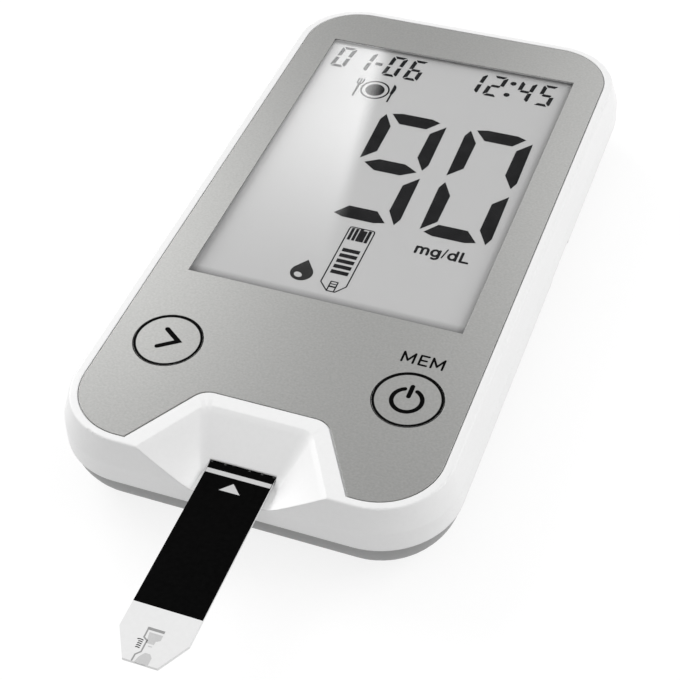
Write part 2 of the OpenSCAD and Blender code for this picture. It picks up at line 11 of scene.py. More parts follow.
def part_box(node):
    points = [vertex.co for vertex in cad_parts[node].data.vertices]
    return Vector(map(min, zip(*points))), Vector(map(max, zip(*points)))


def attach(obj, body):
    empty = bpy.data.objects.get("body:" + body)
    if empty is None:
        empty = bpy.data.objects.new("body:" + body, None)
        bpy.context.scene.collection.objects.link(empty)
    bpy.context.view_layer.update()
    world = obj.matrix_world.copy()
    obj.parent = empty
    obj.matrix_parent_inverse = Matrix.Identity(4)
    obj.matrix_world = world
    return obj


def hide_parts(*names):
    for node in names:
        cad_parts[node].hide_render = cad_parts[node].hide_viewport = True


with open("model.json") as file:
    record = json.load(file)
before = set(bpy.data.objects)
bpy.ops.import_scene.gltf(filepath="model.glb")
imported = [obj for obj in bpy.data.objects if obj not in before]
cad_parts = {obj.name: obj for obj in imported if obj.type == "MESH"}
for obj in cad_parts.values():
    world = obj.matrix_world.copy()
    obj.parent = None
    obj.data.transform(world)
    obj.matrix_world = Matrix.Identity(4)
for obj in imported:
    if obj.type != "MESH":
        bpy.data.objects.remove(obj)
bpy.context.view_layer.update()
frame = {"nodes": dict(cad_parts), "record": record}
nodes = frame["nodes"]

MM = 0.001


def linked(name, data):
    """A new object in the scene that shows the mesh, lamp or camera data."""
    made = bpy.data.objects.new(name, data)
    bpy.context.scene.collection.objects.link(made)
    return made


# Camera --------------------------------------------------------------------

CAMERA_PLACE = (55.48, -145.93, 147.82)  # mm
CAMERA_TURN = (44.642, 1.938, 20.397)  # degrees about X, Y and Z
CAMERA_LENS = 82.53  # mm
CAMERA_SENSOR = 36  # mm
CAMERA_SHIFT = 0.5 / 680  # half a pixel of the frame
CAMERA_NEAR = 0.005  # m, where its sight begins


def make_camera():
    data = bpy.data.cameras.new("camera")
    data.lens = CAMERA_LENS
    data.sensor_width = CAMERA_SENSOR
    data.clip_start = CAMERA_NEAR
    data.shift_x = -CAMERA_SHIFT
    data.shift_y = CAMERA_SHIFT
    camera = linked("camera", data)
    camera.location = Vector(CAMERA_PLACE) * MM
    camera.rotation_euler = [math.radians(angle) for angle in CAMERA_TURN]
    bpy.context.scene.camera = camera


make_camera()


# Shader helpers ------------------------------------------------------------


def add(tree, kind, inputs=None, **settings):
    """A new shader node with its settings, and values or links for its inputs."""
    made = tree.nodes.new(kind)
    for name, value in settings.items():
        setattr(made, name, value)
    for name, value in (inputs or {}).items():
        if isinstance(value, bpy.types.NodeSocket):
            tree.links.new(value, made.inputs[name])
        else:
            made.inputs[name].default_value = value
    return made


def empty_material(name):
    material = bpy.data.materials.new(name)
    material.use_nodes = True
    material.node_tree.nodes.clear()
    return material, material.node_tree


def finish_material(tree, shader_socket):
    add(tree, "ShaderNodeOutputMaterial", {"Surface": shader_socket})


def combined(tree, operation, first, second):
    """The result of an operation on two sockets or numbers."""
    return add(tree, "ShaderNodeMath", {0: first, 1: second}, operation=operation).outputs[0]


def place(tree):
    """Coordinates in the object's own frame, in metres."""
    return add(tree, "ShaderNodeTexCoord").outputs["Object"]


def along(tree, axis):
    """One of those coordinates: X, Y or Z."""
    return add(tree, "ShaderNodeSeparateXYZ", {0: place(tree)}).outputs[axis]


def noise(tree, size_mm, stretch=(1, 1, 1)):
    """A noise from 0 to 1 whose features are about size_mm across."""
    spread = add(tree, "ShaderNodeVectorMath", {0: place(tree), 1: stretch}, operation="MULTIPLY")
    return add(tree, "ShaderNodeTexNoise", {
        "Vector": spread.outputs[0], "Scale": 1 / (size_mm * MM), "Detail": 2.0,
    }).outputs["Fac"]


def between(tree, factor, low, high, start=0.3, end=0.7):
    """Maps a factor from start...end to low...high."""
    return add(tree, "ShaderNodeMapRange", {
        "Value": factor, "From Min": start, "From Max": end, "To Min": low, "To Max": high,
    }).outputs["Result"]


def softly(tree, value, start, end):
    """0 at start and 1 at end, with a soft passage between them."""
    return add(tree, "ShaderNodeMapRange", {
        "Value": value, "From Min": start, "From Max": end, "To Min": 0, "To Max": 1,
    }, interpolation_type="SMOOTHSTEP").outputs["Result"]


def mixed(tree, factor, first, second):
    """first where factor is 0 and second where it is 1; colours are linear RGB or sockets."""
    mix = tree.nodes.new("ShaderNodeMix")
    mix.data_type = "RGBA"
    tree.links.new(factor, mix.inputs["Factor"])
    for name, value in (("A", first), ("B", second)):
        socket = next(s for s in mix.inputs if s.name == name and s.type == "RGBA")
        if isinstance(value, bpy.types.NodeSocket):
            tree.links.new(value, socket)
        else:
            socket.default_value = (*value, 1)
    return next(s for s in mix.outputs if s.type == "RGBA")


def grey(level):
    return (level, level, level)


def toned(tree, factor, colour, spread):
    """The colour, darker by spread where factor is 0 and lighter by as much where it is 1."""
    dark, light = (tuple(channel * (1 + change) for channel in colour) for change in (-spread, spread))
    return mixed(tree, factor, dark, light)


def mixed_shaders(tree, factor, first, second):
    return add(tree, "ShaderNodeMixShader", {0: factor, 1: first, 2: second}).outputs[0]


def added_shaders(tree, first, second):
    return add(tree, "ShaderNodeAddShader", {0: first, 1: second}).outputs[0]


def seen_directly(tree):
    """1 for the camera's rays, mirrored rays and refracted ones, and 0 for soft light."""
    path = add(tree, "ShaderNodeLightPath").outputs
    sight = combined(tree, "MAXIMUM", path["Is Camera Ray"], path["Is Glossy Ray"])
    return combined(tree, "MAXIMUM", sight, path["Is Transmission Ray"])


def relief(tree, height, bump_mm, soften_mm=0.0):
    """A normal with a fine bump and, where soften_mm is given, with softened edges."""
    inputs = {"Height": height, "Distance": bump_mm * MM, "Strength": 1.0}
    if soften_mm:
        inputs["Normal"] = add(tree, "ShaderNodeBevel", {"Radius": soften_mm * MM}, samples=6).outputs[0]
    return add(tree, "ShaderNodeBump", inputs).outputs[0]


# Materials -----------------------------------------------------------------

WHITE = grey(0.86)
PLATE = (0.415, 0.415, 0.406)
GREY = grey(0.325)
LCD_GREY = grey(0.52)
FILM = grey(0.80)
STRIP_BLACK = grey(0.0015)
CLOUD = 25  # times its grain, the size of the cloudy patches in a finish


def surface(name, colour, roughness, grain_mm=0.4, spread=0.05, rough_spread=0.06,
            bump_mm=0.002, soften_mm=0.0, **sockets):
    """A procedural finish: tone, gloss and relief all vary with a grain of grain_mm."""
    material, tree = empty_material(name)
    grain = noise(tree, grain_mm)
    tone = combined(tree, "ADD", grain, noise(tree, CLOUD * grain_mm))
    inputs = {
        "Base Color": toned(tree, between(tree, tone, 0, 1, 0.7, 1.3), colour, spread),
        "Roughness": between(tree, grain, roughness - rough_spread, roughness + rough_spread),
        "Normal": relief(tree, grain, bump_mm, soften_mm),
    }
    inputs.update(sockets)
    finish_material(tree, add(tree, "ShaderNodeBsdfPrincipled", inputs).outputs[0])
    return material


def ink(name, colour, roughness, spread, grain_mm=0.15, specular=0.5):
    """A printed finish, without relief."""
    return surface(name, colour, roughness, grain_mm=grain_mm, spread=spread, bump_mm=0.0,
                   **{"Specular IOR Level": specular})


def plate_metal():
    """Satin metal with a fine grain: a short scratch pattern over a speckle."""
    material, tree = empty_material("plate_metal")
    speckle = noise(tree, size_mm=0.28)
    fibre = noise(tree, size_mm=0.16, stretch=(0.5, 1, 1))
    grain = combined(tree, "ADD", speckle, fibre)
    shader = add(tree, "ShaderNodeBsdfPrincipled", {
        "Base Color": toned(tree, between(tree, grain, 0, 1, 0.75, 1.25), PLATE, spread=0.07),
        "Metallic": 0.9,
        "Roughness": between(tree, speckle, 0.28, 0.30),
        "Normal": relief(tree, grain, bump_mm=0.00015, soften_mm=0.06),
    })
    finish_material(tree, shader.outputs[0])
    return material


def clear_lens():
    """Clear window: glass that lets the lamps' light through to the display."""
    material, tree = empty_material("lens_clear")
    smear = noise(tree, size_mm=6)
    glass = add(tree, "ShaderNodeBsdfPrincipled", {
        "Base Color": (1, 1, 1, 1),
        "Roughness": between(tree, smear, 0.0, 0.02),
        "IOR": 1.45,
        "Transmission Weight": 1.0,
    }).outputs[0]
    clear = add(tree, "ShaderNodeBsdfTransparent").outputs[0]
    path = add(tree, "ShaderNodeLightPath").outputs
    soft_light = combined(tree, "MAXIMUM", path["Is Shadow Ray"], path["Is Diffuse Ray"])
    finish_material(tree, mixed_shaders(tree, soft_light, glass, clear))
    return material


WINDOW_RIGHT_X = 18.31  # mm, where the window's right edge shows on the display
WINDOW_NEAR_Y = -15.92  # mm, where its near edge shows
SIDE_PAINTED_SHADE = {"level": 0.76, "width": 0.9}  # painted shade: its level at that edge, and how far it reaches in mm
NEAR_PAINTED_SHADE = {"level": 0.46, "width": 1.25}


def display_cell():
    """Pale grey display glass, with painted shade that darkens it under the window's right and near edges.
    """
    material, tree = empty_material("lcd_front_glass")
    # Painted shade under the window's edges: the glass's colour goes towards black near them.
    side = between(tree, along(tree, "X"), SIDE_PAINTED_SHADE["level"], 1,
                   WINDOW_RIGHT_X * MM, (WINDOW_RIGHT_X - SIDE_PAINTED_SHADE["width"]) * MM)
    near = between(tree, along(tree, "Y"), NEAR_PAINTED_SHADE["level"], 1,
                   WINDOW_NEAR_Y * MM, (WINDOW_NEAR_Y + NEAR_PAINTED_SHADE["width"]) * MM)
    grain = noise(tree, size_mm=0.08)
    lit = toned(tree, between(tree, grain, 0, 1), LCD_GREY, spread=0.015)
    shader = add(tree, "ShaderNodeBsdfPrincipled", {
        "Base Color": mixed(tree, combined(tree, "MULTIPLY", side, near), grey(0), lit),
        "Roughness": 0.5,
        "Normal": relief(tree, grain, bump_mm=0.0005),
    })
    finish_material(tree, shader.outputs[0])
    return material


PRINT_END_Y = -63.32  # mm, where the black print of the strip ends


def strip_cover_film():
    """Cover of the strip: black print, and bare white film in front of it."""
    material, tree = empty_material("strip_cover")
    in_print = combined(tree, "GREATER_THAN", along(tree, "Y"), PRINT_END_Y * MM)
    grain = noise(tree, size_mm=0.5)
    tone = between(tree, grain, 0, 1)
    black = toned(tree, tone, STRIP_BLACK, spread=0.2)
    film = toned(tree, tone, FILM, spread=0.0125)
    shader = add(tree, "ShaderNodeBsdfPrincipled", {
        "Base Color": mixed(tree, in_print, film, black),
        "Roughness": between(tree, grain, 0.40, 0.48),
        "Specular IOR Level": 0.02,
        "Normal": relief(tree, grain, bump_mm=0.001),
    })
    finish_material(tree, shader.outputs[0])
    return material


FINISHES = {
    "white_plastic": surface("white_plastic", WHITE, 0.34, grain_mm=0.5, spread=0.012,
                             rough_spread=0.03, bump_mm=0.0015, soften_mm=0.22),
    "plate_metal": plate_metal(),
    "lens_clear": clear_lens(),
    "lcd_grey": surface("lcd_grey", LCD_GREY, 0.5, grain_mm=0.08, spread=0.015, bump_mm=0.0005),
    "grey_plastic": surface("grey_plastic", GREY, 0.5, grain_mm=0.3, spread=0.04,
                            bump_mm=0.004, soften_mm=0.2),
    "frame_plastic": surface("frame_plastic", (0.68, 0.67, 0.62), 0.5, spread=0.03),
    "rubber_black": surface("rubber_black", grey(0.03), 0.7, spread=0.1),
    "board_green": surface("board_green", (0.02, 0.14, 0.06), 0.35, grain_mm=0.8, spread=0.15),
    "black_plastic": surface("black_plastic", (0.012, 0.012, 0.013), 0.42, grain_mm=0.3, spread=0.15),
    "contact_gold": surface("contact_gold", (0.80, 0.58, 0.22), 0.28, spread=0.05, Metallic=1.0),
    "bright_steel": surface("bright_steel", (0.62, 0.62, 0.61), 0.26, grain_mm=0.2, spread=0.05,
                            Metallic=1.0),
    "tan_ceramic": surface("tan_ceramic", (0.50, 0.40, 0.26), 0.6, spread=0.08),
    "strip_white": surface("strip_white", grey(0.80), 0.38, grain_mm=0.4, spread=0.02, bump_mm=0.001),
    "strip_black": strip_cover_film(),
}
INK = ink("ink", grey(0.002), 0.5, spread=0.3, specular=0.02)
SEGMENT_INK = ink("segment_ink", (0.023, 0.023, 0.024), 0.6, spread=0.25, grain_mm=0.12, specular=0.0)
DROP_INK = ink("drop_ink", grey(0.035), 0.6, spread=0.2, grain_mm=0.12, specular=0.0)
# White print on the strip, given a grey that is partly its own colour and partly painted shade from the
# recess at the slot.
WHITE_INK_AND_PAINTED_SHADE = ink("white_ink_and_painted_shade", grey(0.58), 0.5, spread=0.03)
CHANNEL_INK = ink("channel_grey", grey(0.30), 0.4, spread=0.06)
CHAMBER_INK = ink("chamber_grey", grey(0.56), 0.4, spread=0.03)
SPOT_INK = ink("spot_grey", grey(0.06), 0.4, spread=0.2)
CARBON_INK = ink("carbon_grey", (0.03, 0.03, 0.035), 0.45, spread=0.2, grain_mm=0.1)


def dress_cad_nodes():
    for part in frame["record"]["subparts"]:
        mesh = nodes[part["node"]].data
        mesh.materials.clear()
        mesh.materials.append(FINISHES[part["material_slot"]])
    nodes["lcd_front_glass"].data.materials[0] = display_cell()


dress_cad_nodes()


# Upper shell ---------------------------------------------------------------

SHELL_LOW, SHELL_HIGH = (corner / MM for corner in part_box("top_housing"))
SHELL_CREASE_Z = 9.35  # mm, where the slanted upper band of the side meets the lower one
SHARP_ANGLE = 19  # degrees, over which the shell's faces meet in a sharp edge
JOIN_MM = 0.0005  # corners that lie closer together than this are one
FUNNEL_FLOOR_Z = 8.8  # mm, just under the strip
FUNNEL_FOOT = {"half": 4.65, "front_half": 4.85, "depth": 3.28, "r": 0.75}
FUNNEL_MOUTH = {"half": 6.55, "front_half": 13.8, "depth": 9.7, "r": 2.0}
FUNNEL_REACH = 2.5  # mm in front of the casing, where the front half widths are
FUNNEL_BULGE = 0.45  # mm, by which the sides bulge out halfway up, for a straight front lip
FUNNEL_EDGE = 0.25  # mm, height of the eased edge round the mouth
FUNNEL_GROWTH = 0.03  # mm, by which the cut clears the solid's own walls
FUNNEL_STEPS = 20
STRAIGHT_STEPS = 14
CORNER_STEPS = 10


def funnel_side(share, grow):
    """Right half of the funnel's outline; share runs from 0 at the floor to 1 at the mouth."""
    half, front_half, depth, r = (
        FUNNEL_FOOT[key] + share * (FUNNEL_MOUTH[key] - FUNNEL_FOOT[key]) + grow
        for key in ("half", "front_half", "depth", "r"))
    front_half += 4 * FUNNEL_BULGE * share * (1 - share)
    front_y, rear_y = SHELL_LOW.y - FUNNEL_REACH, SHELL_LOW.y + depth
    flare = (front_half - half) / (rear_y - front_y)
    centre = Vector((half - r * (math.sqrt(1 + flare * flare) - flare), rear_y - r))
    start = math.degrees(math.atan(flare))
    turns = [math.radians(start + (90 - start) * i / CORNER_STEPS) for i in range(CORNER_STEPS + 1)]
    corner = [centre + Vector((math.cos(turn), math.sin(turn))) * r for turn in turns]
    front = Vector((front_half, front_y))
    return [front.lerp(corner[0], i / STRAIGHT_STEPS) for i in range(STRAIGHT_STEPS)] + corner


def funnel_layers():
    """Share of the height, growth and height of each outline, from the floor to above the mouth."""
    top_z = SHELL_HIGH.z
    layers = []
    for i in range(FUNNEL_STEPS + 1):
        z = FUNNEL_FLOOR_Z + (top_z - FUNNEL_EDGE - FUNNEL_FLOOR_Z) * i / FUNNEL_STEPS
        layers.append(((z - FUNNEL_FLOOR_Z) / (top_z - FUNNEL_FLOOR_Z), FUNNEL_GROWTH, z))
    return layers + [(1, FUNNEL_GROWTH + FUNNEL_EDGE / 2, z) for z in (top_z, top_z + 1)]


def funnel_cutter():
    """The space of the funnel: walls that open out and twist as they rise, and an eased edge."""
    cutter = bmesh.new()
    rings = []
    for share, grow, z in funnel_layers():
        side = funnel_side(share, grow)
        outline = side + [Vector((-x, y)) for x, y in reversed(side)]
        rings.append([cutter.verts.new((x * MM, y * MM, z * MM)) for x, y in outline])
    count = len(rings[0])
    for low, high in zip(rings, rings[1:]):
        for i in range(count):
            j = (i + 1) % count
            cutter.faces.new([low[i], low[j], high[j], high[i]])
    cutter.faces.new(rings[0][::-1])
    cutter.faces.new(rings[-1])
    mesh = bpy.data.meshes.new("funnel_cutter")
    cutter.to_mesh(mesh)
    cutter.free()
    return linked("funnel_cutter", mesh)


def closed_copy(name, node):
    """A CAD node's mesh in an object of its own, with the corners of its faces joined."""
    mesh = nodes[node].data.copy()
    mesh.name = name
    shell = bmesh.new()
    shell.from_mesh(mesh)
    bmesh.ops.remove_doubles(shell, verts=shell.verts, dist=JOIN_MM * MM)
    shell.to_mesh(mesh)
    shell.free()
    return linked(name, mesh)


def applied(piece):
    """Gives a piece the mesh that its modifiers make, and drops them."""
    depsgraph = bpy.context.evaluated_depsgraph_get()
    plain = piece.data
    piece.data = bpy.data.meshes.new_from_object(piece.evaluated_get(depsgraph))
    piece.modifiers.clear()
    bpy.data.meshes.remove(plain)


def cut_away(piece, cutter):
    cut = piece.modifiers.new("cut", "BOOLEAN")
    cut.operation = "DIFFERENCE"
    cut.solver = "EXACT"
    cut.object = cutter
    applied(piece)
    bpy.data.objects.remove(cutter)


def shade_by_angle(piece):
    """Smooth faces with even normals, and sharp edges at the crease and at each steep angle."""
    shell = bmesh.new()
    shell.from_mesh(piece.data)
    bmesh.ops.dissolve_degenerate(shell, dist=JOIN_MM * MM, edges=shell.edges)
    shell.normal_update()
    for face in shell.faces:
        face.smooth = True
    for edge in shell.edges:
        creased = all(abs(corner.co.z - SHELL_CREASE_Z * MM) < 0.01 * MM for corner in edge.verts)
        edge.smooth = edge.calc_face_angle() < math.radians(SHARP_ANGLE) and not creased
    shell.to_mesh(piece.data)
    shell.free()
    even = piece.modifiers.new("even_normals", "WEIGHTED_NORMAL")
    even.keep_sharp = True
    applied(piece)


def upper_shell():
    """The upper shell with a smooth funnel that reaches down to the front lip."""
    piece = closed_copy("upper_shell", "top_housing")
    cut_away(piece, funnel_cutter())
    shade_by_angle(piece)
    piece.data.materials.clear()
    piece.data.materials.append(FINISHES["white_plastic"])
    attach(piece, "casing")
    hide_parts("top_housing")


upper_shell()


# Flat shapes, as corner lists in millimetres -------------------------------

LAYER = 0.012  # mm, the thickness of a print


def disc(x, y, r, steps=28):
    return oval(x, y, r, r, 0, steps)


def oval(x, y, rx, ry, tilt, steps=28):
    """An oval's corners; tilt is in degrees, anticlockwise."""
    cos_t, sin_t = math.cos(math.radians(tilt)), math.sin(math.radians(tilt))
    corners = []
    for i in range(steps):
        angle = 2 * math.pi * i / steps
        u, v = rx * math.cos(angle), ry * math.sin(angle)
        corners.append((x + u * cos_t - v * sin_t, y + u * sin_t + v * cos_t))
    return corners


def block(x0, y0, x1, y1):
    return [(x0, y0), (x1, y0), (x1, y1), (x0, y1)]


def arc(x, y, r, start, end, steps):
    """Points on an arc; the angles are in degrees, clockwise from +Y."""
    angles = [math.radians(start + (end - start) * i / steps) for i in range(steps + 1)]
    return [(x + r * math.sin(a), y + r * math.cos(a)) for a in angles]


def stroke(points, width, round_ends=True):
    """A line of that width through the points, as quads and the discs at its ends."""
    points = [Vector(p) for p in points]
    closed = (points[0] - points[-1]).length < 1e-6
    if closed:
        points.pop()
    count = len(points)
    edges = []
    for i, point in enumerate(points):
        to_here = point - points[i - 1] if closed or i else None
        onward = points[(i + 1) % count] - point if closed or i < count - 1 else None
        to_here, onward = (to_here or onward).normalized(), (onward or to_here).normalized()
        across = Vector((-to_here.y - onward.y, to_here.x + onward.x)).normalized()
        reach = width / 2 / max(across.dot(Vector((-onward.y, onward.x))), 0.5)
        edges.append((point + across * reach, point - across * reach))
    last = count if closed else count - 1
    shapes = [
        [edges[i][0], edges[i][1], edges[(i + 1) % count][1], edges[(i + 1) % count][0]]
        for i in range(last)
    ]
    if round_ends and not closed:
        shapes += [disc(*points[0], width / 2, 16), disc(*points[-1], width / 2, 16)]
    return shapes


def loop(outline, width):
    """A closed line of that width along an outline."""
    return stroke(outline + outline[:1], width)


def moved(shapes, x, y, lean=0.0):
    """The shapes leaned over by lean millimetres for each millimetre of height, then moved."""
    return [[(px + lean * py + x, py + y) for px, py in shape] for shape in shapes]


def covers(shape, point):
    """Whether the shape's outline goes round the point."""
    inside = False
    for (ax, ay), (bx, by) in zip(shape, shape[1:] + shape[:1]):
        if (ay > point.y) != (by > point.y) and point.x < ax + (bx - ax) * (point.y - ay) / (by - ay):
            inside = not inside
    return inside


def union(shapes):
    """Corners of the flat shapes' union, and its faces as lists of corner numbers."""
    corners, outlines = [], []
    for shape in shapes:
        area = sum(a[0] * b[1] - b[0] * a[1] for a, b in zip(shape, shape[1:] + shape[:1]))
        numbers = list(range(len(corners), len(corners) + len(shape)))
        outlines.append(numbers if area > 0 else numbers[::-1])
        corners += [Vector(corner) for corner in shape]
    flat, _, faces = delaunay_2d_cdt(corners, [], outlines, 1, 1e-3)[:3]
    kept = []
    for face in faces:
        middle = sum((flat[i] for i in face), Vector((0, 0))) / len(face)
        if any(covers(shape, middle) for shape in shapes):
            kept.append(face)
    return flat, kept


def slab_mesh(name, shapes, z, thickness):
    """A closed slab with the outline of the shapes' union, from height z up."""
    flat, faces = union(shapes)
    slab = bmesh.new()
    low = [slab.verts.new((v.x * MM, v.y * MM, z * MM)) for v in flat]
    high = [slab.verts.new((v.x * MM, v.y * MM, (z + thickness) * MM)) for v in flat]
    sides = set()
    for face in faces:
        slab.faces.new([high[i] for i in face])
        slab.faces.new([low[i] for i in reversed(face)])
        sides.update(zip(face, face[1:] + face[:1]))
    for a, b in sorted(sides):
        if (b, a) not in sides:
            slab.faces.new([low[a], low[b], high[b], high[a]])
    bmesh.ops.delete(slab, geom=[v for v in slab.verts if not v.link_faces], context="VERTS")
    mesh = bpy.data.meshes.new(name)
    slab.to_mesh(mesh)
    slab.free()
    return mesh


def printed(name, shapes, z, body, material, thickness=LAYER):
    """One thin solid piece: the union of flat shapes, standing on height z."""
    piece = linked(name, slab_mesh(name, shapes, z, thickness))
    piece.data.materials.append(material)
    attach(piece, body)


# Display -------------------------------------------------------------------

LCD_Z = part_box("lcd_front_glass")[1].z / MM + 0.004
LCD_SHIFT = (0.11, -0.32)  # mm, which makes up for the lens lifting what is seen through it
SEGMENTS = {"0": "abcdef", "1": "bc", "2": "abged", "4": "fgbc", "5": "afgcd", "6": "afgecd",
            "9": "abcdfg"}  # the bars that each figure shows, from a at the top clockwise, g in the middle
BIG = {"w": 9.9, "h": 23.7, "t": 2.0}  # width and height of a big figure, and width of its bars
LEFT_DROP = 0.25  # mm, by which the upper left bar of a big figure reaches under the middle
RIGHT_SHIFT = (-0.12, -0.2)  # mm, by which its right bars differ from the left ones turned round
BASE_SHIFT = (-0.6, 0.1)  # mm, by which its lowest bar differs from the highest one turned round
SMALL = {"w": 2.33, "h": 5.08, "t": 0.63, "flat": 0.55}  # the same, and height of its level bars
SMALL_LEAN = 0.094
READING = {"text": "90", "lefts": (-5.75, 6.8), "y": 0.2}
DATE = {"text": "0106", "lefts": (-17.3, -13.96, -9.26, -6.0), "y": 31.79}
DATE_DASH = (-10.83, 33.88, -9.77, 34.56)
CLOCK = {"text": "1245", "lefts": (3.12, 6.23, 10.58, 13.83), "y": 31.66}
CLOCK_DOTS = ((9.93, 35.59), (9.71, 32.71))
CLOCK_DOT_R = 0.45
DROP = {"x": -4.7, "y": -11.55, "r": 1.5, "tip": 2.5}
DROP_SHINE = {"x": -5.02, "y": -12.06, "rx": 0.57, "ry": 0.43, "tilt": -22}


def big_figure(figure):
    """A seven-segment figure with pointed bars, in bar widths from its lower left corner."""
    w, h, t = BIG["w"], BIG["h"], BIG["t"]
    mid = h / 2

    def upright(low, high):
        """The bar on the left of a half that reaches from low to high."""
        return [(t / 4, high - 0.375 * t), (0, high - 1.05 * t), (0.1 * t, low + 0.45 * t),
                (t, low + 1.5 * t), (t, high - 1.65 * t)]

    def turned(shape, low, high, shift):
        return [(w - px + shift[0], low + high - py + shift[1]) for px, py in shape]

    top = [(0.64 * t, h - 0.22 * t), (1.37 * t, h), (w - 1.37 * t, h), (w - 0.72 * t, h - 0.24 * t),
           (w - 1.48 * t, h - 1.2 * t), (1.48 * t, h - 1.2 * t)]
    bars = {
        "a": top,
        "f": upright(mid - LEFT_DROP, h),
        "b": turned(upright(mid, h), mid, h, RIGHT_SHIFT),
        "e": upright(0, mid),
        "c": turned(upright(0, mid), 0, mid, RIGHT_SHIFT),
        "d": turned(top, 0, h, BASE_SHIFT),
        "g": [(0.55 * t, mid), (1.48 * t, mid + 0.58 * t), (w - 1.6 * t, mid + 0.58 * t),
              (w - 0.6 * t, mid), (w - 1.6 * t, mid - 0.66 * t), (1.48 * t, mid - 0.66 * t)],
    }
    return [bars[bar] for bar in SEGMENTS[figure]]


def small_figure(figure):
    """A figure of the clock, whose bars have blunt inner ends, from its lower left corner."""
    w, h, t, flat = SMALL["w"], SMALL["h"], SMALL["t"], SMALL["flat"]
    mid = h / 2

    def flipped(shape):
        return [(px, h - py) for px, py in shape]

    def mirrored(shape):
        return [(w - px, py) for px, py in shape]

    upper_left = [(0, h - 0.5), (0.12, h - 0.22), (t, h - 0.74), (t, mid + 0.28), (0.05, mid + 0.14)]
    top = [(0.26, h - 0.04), (0.32, h), (w - 0.4, h), (w - 0.33, h - 0.05),
           (w - 0.7, h - flat), (0.62, h - flat)]
    middle = [(0.44, mid - 0.02), (0.64, mid + flat / 2), (w - 0.62, mid + flat / 2),
              (w - 0.46, mid + 0.04), (w - 0.66, mid - flat / 2), (0.64, mid - flat / 2)]
    bars = {
        "a": top,
        "b": mirrored(upper_left),
        "c": mirrored(flipped(upper_left)),
        "d": flipped(top),
        "e": flipped(upper_left),
        "f": upper_left,
        "g": middle,
    }
    return [bars[bar] for bar in SEGMENTS[figure]]


def figures(line, draw, lean=0.0):
    """The shapes of a line of figures, each drawn by draw."""
    shapes = []
    for figure, left in zip(line["text"], line["lefts"]):
        shapes += moved(draw(figure), left, line["y"], lean)
    return shapes


def date():
    return figures(DATE, small_figure, SMALL_LEAN) + [block(*DATE_DASH)]


def clock():
    return figures(CLOCK, small_figure, SMALL_LEAN) + [disc(x, y, CLOCK_DOT_R) for x, y in CLOCK_DOTS]


def unit_label():
    """mg/dL in plain bold strokes."""
    w, base, x_height, cap = 0.37, -3.35, 1.15, 1.68
    top, foot = base + x_height, base + 0.02
    m_stems = (7.85, 8.65, 9.42)
    bowls, bowl_rx, bowl_ry = (10.42, 12.72), 0.48, 0.56  # the rings of g and d
    g_stem, d_stem, l_stem = 10.95, 13.22, 13.88
    shapes = stroke([(m_stems[0], base), (m_stems[0], top)], w)
    for left, right in zip(m_stems, m_stems[1:]):
        middle, r = (left + right) / 2, (right - left) / 2
        shapes += stroke(arc(middle, top - r, r, -90, 90, 10) + [(right, base)], w)
    for x in bowls:
        shapes += loop(oval(x, base + x_height / 2 + 0.02, bowl_rx, bowl_ry, 0, 24), w)
    hook_r = 0.47
    hook = arc(g_stem - hook_r, base - 0.05, hook_r, 90, 215, 10)
    shapes += stroke([(g_stem, top + 0.02)] + hook, w)
    shapes += stroke([(11.42, base), (11.82, base + cap + 0.05)], 0.2)
    shapes += stroke([(d_stem, base), (d_stem, base + cap)], w)
    shapes += stroke([(l_stem, base + cap), (l_stem, foot)], w)
    shapes += stroke([(l_stem, foot), (l_stem + 0.97, foot)], w)
    return shapes


def meal_sign():
    """A plate between a fork and a knife."""
    x, y, plate_r, rim_r = -8.75, 28.05, 1.41, 2.03
    shapes = [disc(x, y, plate_r)] + loop(disc(x, y, rim_r, 48), 0.26)
    fork_x, fork_y, tine_gap = -11.45, 28.6, 0.38
    shapes += stroke([(fork_x, fork_y), (fork_x, 25.9)], 0.3)
    for tine_x in (fork_x - tine_gap, fork_x, fork_x + tine_gap):
        shapes += stroke([(tine_x, 30.05), (tine_x, 29.1), (fork_x, fork_y)], 0.22)
    blade = [(-6.43, 30.12), (-6.43, 27.8), (-5.98, 27.8), (-5.86, 28.9), (-5.92, 29.5), (-6.15, 29.9)]
    handle = [(-6.18, 27.9), (-6.18, 25.92)]
    return shapes + [blade] + stroke(handle, 0.27)


def strip_sign():
    """A strip: outline, contacts at the top, five bars and the sample inlet."""
    left, right, line = -1.77, 1.69, 0.17
    top, shoulder, foot = -1.24, -12.33, -13.7
    contact_foot, contact_top = -3.78, -1.4
    contacts = ((-1.44, -1.03, contact_top), (-0.85, -0.44, contact_top), (-0.29, 0.19, -1.3),
                (0.19, 0.76, -1.58), (0.89, 1.33, contact_top))
    outline = [(left + 0.3, top), (right - 0.3, top), (right - 0.08, top - 0.1), (right, top - 0.4),
               (right, shoulder), (0.62, foot), (-0.5, foot), (left, shoulder), (left, top - 0.4),
               (left + 0.08, top - 0.1)]
    shapes = loop(outline, line)
    for x0, x1, high in contacts:
        shapes.append(block(x0, contact_foot, x1, high))
    bar_y, bar_pitch, bar_height = -6.13, 1.075, 0.67
    for i in range(5):
        low = bar_y - bar_pitch * i
        shapes.append(block(-1.26, low, 1.14, low + bar_height))
    inlet_left, inlet_right, inlet_top = -0.5, 0.44, -11.85
    for x in (inlet_left, inlet_right):
        shapes.append(block(x - line / 2, foot, x + line / 2, inlet_top))
    for y, height in ((-11.99, 0.17), (-12.44, 0.16), (-12.98, 0.27)):
        shapes.append(block(-0.45, y, 0.4, y + height))
    return shapes


def drop_outline(x, y, r, tip):
    """A drop: a circle whose sides run up to a tip, a little fuller than straight lines."""
    side = math.degrees(math.acos(r / tip)) + 6
    return arc(x, y, r, side, 360 - side, 36) + [(x, y + tip)]


def lcd(name, shapes, material=SEGMENT_INK, height=0.0):
    """A print on the display, height above its glass."""
    printed(name, moved(shapes, *LCD_SHIFT), LCD_Z + height, "casing", material)


